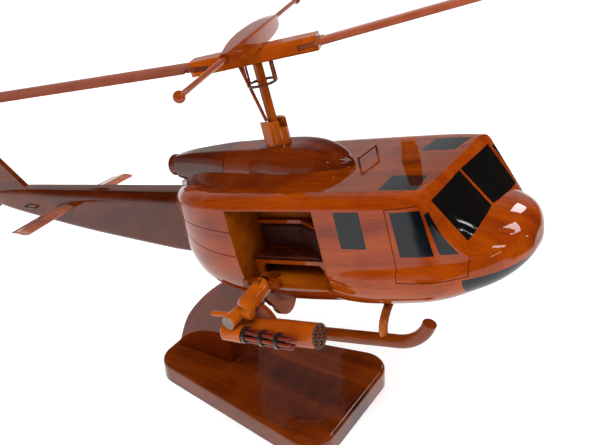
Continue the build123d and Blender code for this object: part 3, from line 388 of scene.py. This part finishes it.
METALS = {
    "rocket_tip_brass": dict(
        base=(0.78, 0.50, 0.16), worn=(0.42, 0.22, 0.06), metallic=0.7, rough=0.30),
    "pod_face_dark_lacquer": dict(
        base=(0.060, 0.030, 0.020), worn=(0.11, 0.062, 0.045), metallic=0.1, rough=0.38,
        coat=0.5),
    "cut_end_grey_lacquer": dict(
        base=(0.20, 0.125, 0.095), worn=(0.10, 0.055, 0.04), metallic=0.0, rough=0.34,
        coat=0.6),
    "black_lacquered_ring": dict(
        base=(0.010, 0.009, 0.009), worn=(0.028, 0.022, 0.020), metallic=0.2, rough=0.25,
        coat=0.9),
    "dark_red_lacquered_wire": dict(
        base=(0.060, 0.009, 0.004), worn=(0.11, 0.02, 0.008), metallic=0.1, rough=0.22,
        coat=1.0),
    "screw_steel": dict(
        base=(0.46, 0.46, 0.47), worn=(0.30, 0.30, 0.31), metallic=1.0, rough=0.33),
}
LEATHER = "bench_quilted_leather"

MATERIALS = {}
for name, (dark, mid, light, seed, look) in WOODS.items():
    MATERIALS[name] = mahogany(name, dark, mid, light, seed, **look)
for name, look in BLACKS.items():
    MATERIALS[name] = gloss_black(name, **look)
MATERIALS[LEATHER] = leather(LEATHER)
for name, look in METALS.items():
    MATERIALS[name] = metal(name, **look)

# Material: the loaded pieces that wear it
WORN_BY = {
    "hull_mahogany": "fuselage_body",
    "boom_mahogany": "tail_boom tail_fin tail_skid",
    "stabilizer_painted_reflection_mahogany": "stabilizer_left stabilizer_right",
    "roof_mahogany": "roof_fairing",
    "cowl_mahogany": "front_cowl exhaust_pipe",
    "band_mahogany": "cowl_band",
    "engine_cowl_mahogany": "engine_cowl",
    "band_light_mahogany": "roof_antenna_blade",
    "bench_mahogany": "bench_frame_left bench_frame_right",
    "skid_mahogany": "landing_skid_left landing_skid_right weapon_brackets",
    "cross_tube_mahogany": "cross_tube_front cross_tube_rear",
    "weapon_mahogany": "weapon_arm_left weapon_arm_right gun_body_left gun_body_right "
                       "rocket_pod_left rocket_pod_right",
    "barrel_red_lacquer": "gun_barrels_left gun_barrels_right",
    "mast_red_mahogany": "pod_pylons pitch_links control_rod",
    "mast_mahogany": "mast_block tail_rotor_hub",
    "rotor_mast_mahogany": "rotor_mast",
    "rotor_mahogany": "rotor_yoke",
    "front_blade_mahogany": "rotor_blade_front",
    "rear_blade_mahogany": "rotor_blade_rear",
    "bar_mahogany": "stabilizer_bar_block stabilizer_bar_arms",
    "blade_mahogany": "tail_rotor_blades",
    "base_mahogany": "stand_base",
    "upright_mahogany": "stand_upright",
    "windscreen_gloss_black": "windscreen_panes",
    "window_gloss_black": "roof_windows chin_windows cabin_side_windows crew_door_windows "
                          "crew_quarter_windows",
    "rocket_tip_brass": "rocket_tips",
    "black_lacquered_ring": "gun_barrel_rings boom_hand_loops tail_rotor_shaft",
    "dark_red_lacquered_wire": "swashplate_ring roof_hand_loop",
    "screw_steel": "stand_screws",
    LEATHER: "bench_seat_pad_left bench_seat_pad_right bench_back_pad_left bench_back_pad_right",
}
FINISH = {piece: finish for finish, pieces in WORN_BY.items() for piece in pieces.split()}

for name, obj in nodes.items():
    obj.data.materials.clear()
    obj.data.materials.append(MATERIALS[FINISH[name]])


# ---------------------------------------------------------------- faces with another finish

def refinish(piece, finish, chosen):
    """Gives a new material to the faces whose centre and normal (aircraft frame) are chosen."""
    mesh = nodes[piece].data
    mesh.materials.append(MATERIALS[finish])
    for face in mesh.polygons:
        if chosen(UNPLACE @ face.center, UNPLACE_NORMAL @ face.normal):
            face.material_index = len(mesh.materials) - 1


CABIN_REAR, CABIN_FRONT = -6.6, 37.3
CABIN_BOTTOM, CABIN_TOP = 11.8, 48.0
SQUARE_ON = 0.98        # normal component of a face square to an axis


def cabin_wall(centre, normal):
    """Inner walls, and the faces square to X or Z further out."""
    return (CABIN_REAR < centre.x < CABIN_FRONT and CABIN_BOTTOM < centre.z < CABIN_TOP
            and abs(centre.y) < 36.5
            and (abs(centre.y) < 17.1 or abs(normal.x) > SQUARE_ON
                 or abs(normal.z) > SQUARE_ON))


def cabin_floor(centre, normal):
    return (CABIN_REAR < centre.x < CABIN_FRONT and CABIN_BOTTOM < centre.z < 12.2
            and abs(centre.y) < 38 and normal.z > SQUARE_ON)


refinish("fuselage_body", "cabin_inside_wood", cabin_wall)
refinish("fuselage_body", "cabin_floor_wood", cabin_floor)
# Faces square to X on the brackets and square to Y on the pylons get a painted reflection
refinish("weapon_brackets", "bracket_side_painted_reflection_mahogany",
         lambda centre, normal: centre.z < 8.5 and abs(normal.x) > 0.9)
refinish("pod_pylons", "bracket_side_painted_reflection_mahogany", lambda centre, normal: abs(normal.y) > 0.9)
# The flat roof top takes the darker copy of the hull wood: painted shade
refinish("fuselage_body", "roof_top_painted_shade_mahogany",
         lambda centre, normal: normal.z > 0.9994 and centre.z > 50)
for side in ("left", "right"):
    refinish("rocket_pod_" + side, "pod_face_dark_lacquer",
             lambda centre, normal: normal.x > 0.9)


# ---------------------------------------------------------------- mesh helpers

def link_object(name, data):
    obj = bpy.data.objects.new(name, data)
    bpy.context.scene.collection.objects.link(obj)
    return obj


def to_mesh(bm, name):
    mesh = bpy.data.meshes.new(name)
    bm.to_mesh(mesh)
    bm.free()
    return mesh


def smooth_by_angle(mesh, degrees):
    """Smooth shades all faces and marks the edges sharper than the angle."""
    bm = bmesh.new()
    bm.from_mesh(mesh)
    limit = math.radians(degrees)
    sharp = [not (len(edge.link_faces) == 2 and edge.calc_face_angle(0.0) < limit)
             for edge in bm.edges]
    bm.free()
    marks = (mesh.attributes.get("sharp_edge")
             or mesh.attributes.new("sharp_edge", "BOOLEAN", "EDGE"))
    marks.data.foreach_set("value", sharp)
    mesh.polygons.foreach_set("use_smooth", [True] * len(mesh.polygons))
    mesh.update()


def add_piece(bm, name, finishes, smooth, replaces=None):
    """Turns an aircraft-frame bmesh (mm) into a piece riding on the body."""
    bm.transform(PLACE)
    obj = link_object(name, to_mesh(bm, name))
    for finish in finishes:
        obj.data.materials.append(MATERIALS[finish])
    smooth_by_angle(obj.data, smooth)
    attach(obj, BODY)
    if replaces:
        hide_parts(replaces)


def mirror_to_left(bm):
    bm.transform(Matrix.Scale(-1, 4, (0, 1, 0)))


def bridge(bm, rings):
    """Joins each ring of vertices to the next."""
    for ring, following in zip(rings, rings[1:]):
        for i in range(len(ring)):
            j = (i + 1) % len(ring)
            bm.faces.new((ring[i], ring[j], following[j], following[i]))


def prism(outline, bottom, top):
    bm = bmesh.new()
    low = [bm.verts.new((x, y, bottom)) for x, y in outline]
    high = [bm.verts.new((x, y, top)) for x, y in outline]
    bm.faces.new(low[::-1])
    bm.faces.new(high)
    bridge(bm, [low, high])
    bmesh.ops.recalc_face_normals(bm, faces=bm.faces)
    return bm


# ---------------------------------------------------------------- swelling a pad with cloth

GROW = 20.0             # the pads are swelled at armchair size, then brought back
PAD_VOXEL = 0.30        # mm
LAST_FRAME = 20


def evaluated_mesh(obj):
    graph = bpy.context.evaluated_depsgraph_get()
    return bpy.data.meshes.new_from_object(obj.evaluated_get(graph))


def inflate(obj):
    """Runs a cloth inflation and returns where each vertex ends."""
    cloth = obj.modifiers.new("cloth", "CLOTH")
    settings = cloth.settings
    settings.quality = 5
    settings.mass = 0.3
    settings.tension_stiffness = 18
    settings.compression_stiffness = 18
    settings.shear_stiffness = 8
    settings.bending_stiffness = 0.6
    settings.use_pressure = True
    settings.uniform_pressure_force = 3.0
    settings.effector_weights.gravity = 0.0
    cloth.collision_settings.use_collision = False
    scene = bpy.context.scene
    scene.frame_start = 1
    scene.frame_end = LAST_FRAME
    for number in range(1, LAST_FRAME + 1):
        scene.frame_set(number)
    moved = [vert.co.copy() for vert in evaluated_mesh(obj).vertices]
    scene.frame_set(1)
    return moved


def swell(bm, name, cap):
    """Remeshes and inflates a closed form (mm); no vertex moves further than the cap."""
    bm.transform(Matrix.Scale(MM * GROW, 4))
    obj = link_object(name + "_cloth", to_mesh(bm, name + "_cloth"))
    bpy.context.view_layer.objects.active = obj
    remesh = obj.modifiers.new("remesh", "REMESH")
    remesh.mode = "VOXEL"
    remesh.voxel_size = PAD_VOXEL * MM * GROW
    flat = evaluated_mesh(obj)
    obj.modifiers.clear()
    obj.data = flat
    start = [vert.co.copy() for vert in flat.vertices]
    moved = inflate(obj)

    limit = cap * MM * GROW
    swelled = bmesh.new()
    swelled.from_mesh(flat)
    swelled.verts.ensure_lookup_table()
    for vert, before, after in zip(swelled.verts, start, moved):
        shift = after - before
        if shift.length > limit:
            shift = shift.normalized() * limit
        vert.co = before + shift
    for _ in range(2):
        bmesh.ops.smooth_vert(swelled, verts=swelled.verts, factor=0.5,
                              use_axis_x=True, use_axis_y=True, use_axis_z=True)
    swelled.transform(Matrix.Scale(1000.0 / GROW, 4))
    bpy.data.objects.remove(obj)
    return swelled


# ---------------------------------------------------------------- quilted benches
# Each bench faces outboard. Its back runs straight along X and then slants outboard at the
# forward end. Shapes are for the right side; the left is mirrored.

def height_range(piece):
    """Lowest and highest z of a loaded piece, in the aircraft frame."""
    heights = [(UNPLACE @ vert.co).z for vert in nodes[piece].data.vertices]
    return min(heights), max(heights)


SEAT_LOW, SEAT_HIGH = height_range("bench_seat_pad_right")
BACK_LOW, BACK_HIGH = height_range("bench_back_pad_right")
SEAT_TOP = SEAT_HIGH - 0.35         # before swelling

PAD_REAR = -6.05
# Outlines seen from above: x, y
SEAT_OUTLINE = [(PAD_REAR, -19.75), (15.8, -19.75), (28.2, -27.8), (28.2, -28.45),
                (PAD_REAR, -28.45)]
BACK_OUTLINE = [(PAD_REAR, -18.2), (16.45, -18.2), (30.9, -27.6), (30.9, -28.5),
                (16.1, -19.1), (PAD_REAR, -19.1)]
BEND = Vector((16.2, -18.8, 0))     # where the back starts to slant
SLANT = Vector((14.6, -9.4, 0)).normalized()
QUILT_START = -6.0                  # x of the first channel
SEAT_SEAM_Y = -24.2
BACK_SEAM_Z = BACK_LOW + 7.0

PIPING_REAR = -5.9
# Name, centre line, radius
PIPING = (
    ("seat_piping", [(PIPING_REAR, -28.62, SEAT_TOP), (28.1, -28.62, SEAT_TOP)], 0.34),
    ("back_piping", [(PIPING_REAR, -18.9, BACK_HIGH), (15.9, -18.9, BACK_HIGH),
                     (30.6, -28.3, BACK_HIGH)], 0.30),
)


def channels(distance, pitch, depth, width):
    """Sewn channels: deepest where the distance is a multiple of the pitch."""
    phase = (distance / pitch + 0.5) % 1.0 - 0.5
    groove = depth * math.exp(-(phase * pitch / width) ** 2)
    return groove - depth * 0.35 * math.cos(2 * math.pi * phase) * 0.5


def seam(distance, depth):
    """One sewn line, deepest at distance 0."""
    return depth * math.exp(-(distance / 0.35) ** 2)


def along_back(point):
    """Distance along the back, straight part then slanted end."""
    if point.x < BEND.x:
        return point.x
    return 16.2 + max(0.0, (point - BEND).dot(SLANT))


def seat_groove(vert):
    """Depth and fade of the sewing on the seat's upper face."""
    facing = vert.normal.z
    if facing <= 0.2:
        return 0.0, 0.0
    depth = channels(vert.co.x - QUILT_START, pitch=2.35, depth=0.42, width=0.30)
    depth += seam(vert.co.y - SEAT_SEAM_Y, depth=0.22)
    return depth, min(1.0, facing * 1.2)


def back_groove(vert):
    """Depth and fade of the sewing on the back's outboard face."""
    facing = -vert.normal.y * 0.9
    if vert.co.x > 16.2:
        facing += -vert.normal.x * 0.4
    if facing <= 0.2:
        return 0.0, 0.0
    depth = channels(along_back(vert.co) - QUILT_START, pitch=1.9, depth=0.34, width=0.24)
    depth += seam(vert.co.z - BACK_SEAM_Z, depth=0.20)
    return depth, min(1.0, facing)


def quilt(pad, groove, lowest):
    """Presses in the sewing and wavers the surface, never below the lowest z."""
    bmesh.ops.subdivide_edges(pad, edges=pad.edges[:], cuts=1, use_grid_fill=True, smooth=0.5)
    pad.normal_update()
    for vert in pad.verts:
        depth, fade = groove(vert)
        vert.co -= vert.normal * depth * fade
        vert.co.z += 0.05 * noise.noise(vert.co * 0.35)
        vert.co.z = max(vert.co.z, lowest)


def cord(path, radius, sides=10, step=0.5):
    """Slightly uneven closed cord along a level path, with rounded-off bends."""
    corners = [Vector(corner) for corner in path]
    line = []
    for a, b in zip(corners, corners[1:]):
        count = int((b - a).length / step)
        line += [a.lerp(b, i / count) for i in range(count)]
    line.append(corners[-1])
    for _ in range(3):
        inner = [(line[i - 1] + line[i] * 2 + line[i + 1]) / 4 for i in range(1, len(line) - 1)]
        line = [line[0]] + inner + [line[-1]]

    bm = bmesh.new()
    rings = []
    last = len(line) - 1
    for i, centre in enumerate(line):
        along = (line[min(i + 1, last)] - line[max(i - 1, 0)]).normalized()
        across = along.cross(Vector((0, 0, 1))).normalized()
        down = along.cross(across).normalized()
        reach = radius * (1 + 0.05 * math.sin(i * 1.3))
        if i in (0, last):
            reach *= 0.55
        angles = [2 * math.pi * j / sides for j in range(sides)]
        rings.append([bm.verts.new(centre + across * math.cos(angle) * reach
                                   + down * math.sin(angle) * reach) for angle in angles])
    bridge(bm, rings)
    bm.faces.new(rings[0][::-1])
    bm.faces.new(rings[-1])
    bmesh.ops.recalc_face_normals(bm, faces=bm.faces)
    return bm


def add_leather(bm, kind, side, smooth, replaces=None):
    if side == "left":
        mirror_to_left(bm)
        bmesh.ops.reverse_faces(bm, faces=bm.faces[:])
    add_piece(bm, f"{kind}_{side}", [LEATHER], smooth, replaces)


def build_benches():
    seat = swell(prism(SEAT_OUTLINE, SEAT_LOW + 0.15, SEAT_TOP), "seat", cap=0.45)
    back = swell(prism(BACK_OUTLINE, SEAT_HIGH - 0.25, BACK_HIGH - 0.3), "back", cap=0.4)
    quilt(seat, seat_groove, lowest=SEAT_LOW)
    quilt(back, back_groove, lowest=SEAT_HIGH - 0.3)
    for side in ("right", "left"):
        for kind, pad in (("seat", seat), ("back", back)):
            add_leather(pad.copy(), "quilted_" + kind, side, smooth=75,
                        replaces=f"bench_{kind}_pad_{side}")
    seat.free()
    back.free()
    for side in ("right", "left"):
        for kind, path, radius in PIPING:
            add_leather(cord(path, radius), kind, side, smooth=60)


build_benches()


# ---------------------------------------------------------------- turned weapon arms

ARM_TOP = Vector((3.36, -33.82, 14.4))
ARM_SLOPE = Vector((-0.32, -0.86, -0.40)).normalized()      # outboard, down and a little aft
# Right side: start, end, radius, rim rounding at the start and at the end
ARM_RODS = (
    (ARM_TOP + ARM_SLOPE * 1.2, ARM_TOP + ARM_SLOPE * 17.4, 4.1, 2.6, 2.9),
    ((-6.5, -48.4, 6.0), (2.5, -48.4, 6.0), 2.6, 0.4, 0.6),
    ((-4.6, -48.0, 5.6), (-4.6, -56.6, 5.6), 3.1, 0.4, 0.18),
    ((-6.0, -51.5, 6.4), (-17.0, -51.5, 6.4), 1.2, 0.2, 0.35),
)
CUT_ROD = 2             # the rod whose outboard end is grey


def rod(bm, start, end, radius, start_round, end_round, sides=40, rim_steps=6):
    """Adds a closed turned rod with rounded rims; returns its end cap."""
    origin = Vector(start)
    axis = Vector(end) - origin
    length = axis.length
    along = axis.normalized()
    across = along.orthogonal().normalized()
    third = along.cross(across)

    def rim(rounding, k):
        """Inset from the end and radius, from the full radius (0) to the cap."""
        angle = math.pi / 2 * k / rim_steps
        return rounding * (1 - math.sin(angle)), radius - rounding * (1 - math.cos(angle))

    profile = [rim(start_round, k) for k in range(rim_steps, -1, -1)]
    for k in range(rim_steps + 1):
        inset, reach = rim(end_round, k)
        profile.append((length - inset, reach))
    angles = [2 * math.pi * i / sides for i in range(sides)]
    rings = [[bm.verts.new(origin + along * x
                           + (across * math.cos(angle) + third * math.sin(angle)) * reach)
              for angle in angles] for x, reach in profile]
    bridge(bm, rings)
    bm.faces.new(rings[0][::-1])
    return bm.faces.new(rings[-1])


def build_weapon_arm(side):
    """The turned arm that carries the gun and the rocket pod."""
    bm = bmesh.new()
    caps = [rod(bm, *sizes) for sizes in ARM_RODS]
    caps[CUT_ROD].material_index = 1
    if side == "left":
        mirror_to_left(bm)
    bmesh.ops.recalc_face_normals(bm, faces=bm.faces)
    add_piece(bm, "turned_weapon_arm_" + side, ["weapon_mahogany", "cut_end_grey_lacquer"],
              smooth=50, replaces="weapon_arm_" + side)


for side in ("right", "left"):
    build_weapon_arm(side)

# Loaded pieces with curved surfaces are smoothed over a wider angle
ROUND_PIECES = (
    "weapon_arm", "mast_block", "rotor_mast", "exhaust", "gun_", "rocket", "landing_skid",
    "cross_tube", "swashplate", "pod_pylons", "tail_rotor_shaft", "tail_rotor_hub", "loop",
    "pitch_links", "control_rod", "stabilizer_bar_arms", "tail_skid", "stand_screws")
for name, obj in nodes.items():
    smooth_by_angle(obj.data, 43 if any(part in name for part in ROUND_PIECES) else 28)


# ---------------------------------------------------------------- floor

def build_floor(radii=(0.25, 0.6, 1.2, 2.4, 5.0), sides=64):
    bm = bmesh.new()
    centre = bm.verts.new((0, 0, 0))
    angles = [2 * math.pi * i / sides for i in range(sides)]
    rings = [[bm.verts.new((r * math.cos(angle), r * math.sin(angle), 0)) for angle in angles]
             for r in radii]
    for i in range(sides):
        bm.faces.new((centre, rings[0][i], rings[0][(i + 1) % sides]))
    for inner, outer in zip(rings, rings[1:]):
        for i in range(sides):
            j = (i + 1) % sides
            bm.faces.new((inner[i], outer[i], outer[j], inner[j]))
    floor = link_object("studio_floor", to_mesh(bm, "studio_floor"))
    floor.location = (0, 0, -0.0002)
    floor.data.materials.append(floor_paper("studio_floor_paper"))
    floor.visible_glossy = False


build_floor()


# ---------------------------------------------------------------- world

def build_world():
    """White to the camera, even to diffuse rays, a pale and dark room in reflections.

    Azimuths are degrees from +X towards +Y; heights are the z of the ray's direction.
    """
    studio = bpy.data.worlds.new("studio")
    bpy.context.scene.world = studio
    w = Graph(studio, "ShaderNodeOutputWorld")
    rays = w.node("ShaderNodeLightPath").outputs
    direction = w.node("ShaderNodeTexCoord").outputs["Generated"]
    x, y, z = w.node("ShaderNodeSeparateXYZ", {0: direction}).outputs

    def calc(operation, *values):
        return w.node("ShaderNodeMath", dict(enumerate(values)), operation=operation).outputs[0]

    def add(a, b):
        return calc("ADD", a, b)

    def times(a, b):
        return calc("MULTIPLY", a, b)

    def step(value, span, to=(0.0, 1.0)):
        return w.remap(value, span, to, interpolation_type="SMOOTHSTEP")

    level = calc("SQRT", add(times(x, x), add(times(y, y), 1e-6)))
    level_x = calc("DIVIDE", x, level)
    level_y = calc("DIVIDE", y, level)

    def facing(azimuth):
        """Cosine of the level angle between the ray and the azimuth."""
        angle = math.radians(azimuth)
        return add(times(level_x, math.cos(angle)), times(level_y, math.sin(angle)))

    def patch(azimuth, across, bottom, top):
        """A soft-edged bright patch above the horizon."""
        rising = times(step(facing(azimuth), across), step(z, bottom))
        return times(rising, step(z, top, to=(1.0, 0.0)))

    # Pale paper rising past the horizon on the tail side
    rise = add(step(z, (0.02, 0.18), to=(0.12, 0.0)), step(z, (0.16, 0.38), to=(0.28, 0.0)))
    sweep = times(step(facing(-175), (-0.25, 0.10)), rise)
    # The paper's edge dips around azimuth -22, and comes part way back around -30
    dip = step(facing(-22), (0.06, 0.40))
    corner = step(facing(-30), (0.62, 0.86))
    edge = calc("SUBTRACT", times(corner, 0.22), times(dip, 0.34))
    below = step(calc("SUBTRACT", z, edge), (-0.15, -0.02), to=(1.0, 0.0))
    above = step(z, (-0.15, -0.04))
    paper = add(times(below, 1.04), times(sweep, above))
    # A small dim screen and a broad faint veil, on the far side from the camera
    screen = patch(124.2, across=(math.cos(math.radians(3.9)), math.cos(math.radians(3.3))),
                   bottom=(0.570, 0.578), top=(0.662, 0.672))
    veil = patch(112, across=(0.86, 0.95), bottom=(0.05, 0.15), top=(0.40, 0.56))
    room_glow = 0.022
    value = add(add(times(paper, 0.97), room_glow), add(times(screen, 0.17), times(veil, 0.13)))
    grey = w.node("ShaderNodeCombineXYZ", {0: value, 1: value, 2: value}).outputs[0]

    def background(**inputs):
        return w.node("ShaderNodeBackground", inputs).outputs[0]

    def choose(switch, otherwise, chosen):
        return w.node("ShaderNodeMixShader", {0: switch, 1: otherwise, 2: chosen})

    reflected = background(Color=grey)
    diffuse = background(Color=(1, 0.99, 0.98, 1), Strength=0.42)
    seen = background(Color=(1, 1, 1, 1))
    lighting = choose(rays["Is Diffuse Ray"], reflected, diffuse).outputs[0]
    w.finish(choose(rays["Is Camera Ray"], lighting, seen))


build_world()


# ---------------------------------------------------------------- lights

def softbox(name, location, aim, size, power, glossy=True):
    data = bpy.data.lights.new(name, "AREA")
    data.shape = "RECTANGLE"
    data.size, data.size_y = size
    data.energy = power
    light = link_object(name, data)
    light.location = location
    light.rotation_mode = "QUATERNION"
    light.rotation_quaternion = (Vector(aim) - Vector(location)).to_track_quat("-Z", "Y")
    light.visible_glossy = glossy


softbox("key_overhead", location=(0.35, -0.55, 1.15), aim=(0.0, 0.0, 0.08), size=(0.9, 0.7),
        power=12.0, glossy=False)
softbox("fill_left", location=(-0.9, -0.5, 0.7), aim=(0.0, 0.0, 0.1), size=(0.8, 0.8),
        power=2.0, glossy=False)
softbox("back_top", location=(-0.2, 0.9, 0.9), aim=(0.0, 0.0, 0.1), size=(0.9, 0.5),
        power=4.0, glossy=False)

# Reflector panels around the nose that draw window-shaped highlights in the lacquer
NOSE = Vector((0.127, -0.012, 0.128))
PANEL_DISTANCE = 1.2
# Azimuth and elevation (degrees), width and height (m), brightness
PANELS = (
    (93, 26, 0.15, 0.21, 7.0),
    (71, 46, 0.46, 0.24, 7.0),
    (50.1, 26.45, 0.026, 0.014, 8.0),
    (50.1, 25.88, 0.006, 0.003, 9.0),
    (45.4, 26.7, 0.012, 0.003, 9.0),
    (38, 19, 0.05, 0.08, 7.0),
    (11, 54, 0.13, 0.52, 8.0),
    (-13, 31, 0.34, 0.06, 9.0),
    (-60, 48, 0.10, 0.06, 9.0),
)
for i, (azimuth, elevation, width, height, brightness) in enumerate(PANELS):
    turn, lift = math.radians(azimuth), math.radians(elevation)
    outward = Vector((math.cos(turn) * math.cos(lift), math.sin(turn) * math.cos(lift),
                      math.sin(lift)))
    softbox(f"panel_{i}", location=NOSE + outward * PANEL_DISTANCE, aim=NOSE,
            size=(width, height), power=brightness * math.pi * width * height)


# ---------------------------------------------------------------- camera

def build_camera():
    data = bpy.data.cameras.new("camera")
    data.sensor_width = 36.0
    data.lens = 48.68
    data.shift_x = -0.00997
    data.shift_y = -0.00385
    data.clip_start = 0.01
    data.clip_end = 50
    right = Vector((0.85142, 0.52151, -0.05576))
    up = Vector((-0.20306, 0.42578, 0.88175))
    ahead = Vector((-0.48358, 0.73941, -0.46842))
    axes = Matrix((right, up, -ahead)).transposed().to_4x4()
    camera = link_object("camera", data)
    camera.matrix_world = Matrix.Translation((0.20538, -0.26697, 0.27435)) @ axes
    bpy.context.scene.camera = camera


build_camera()
bpy.context.scene.view_settings.view_transform = "Standard"
bpy.context.scene.view_settings.look = "None"
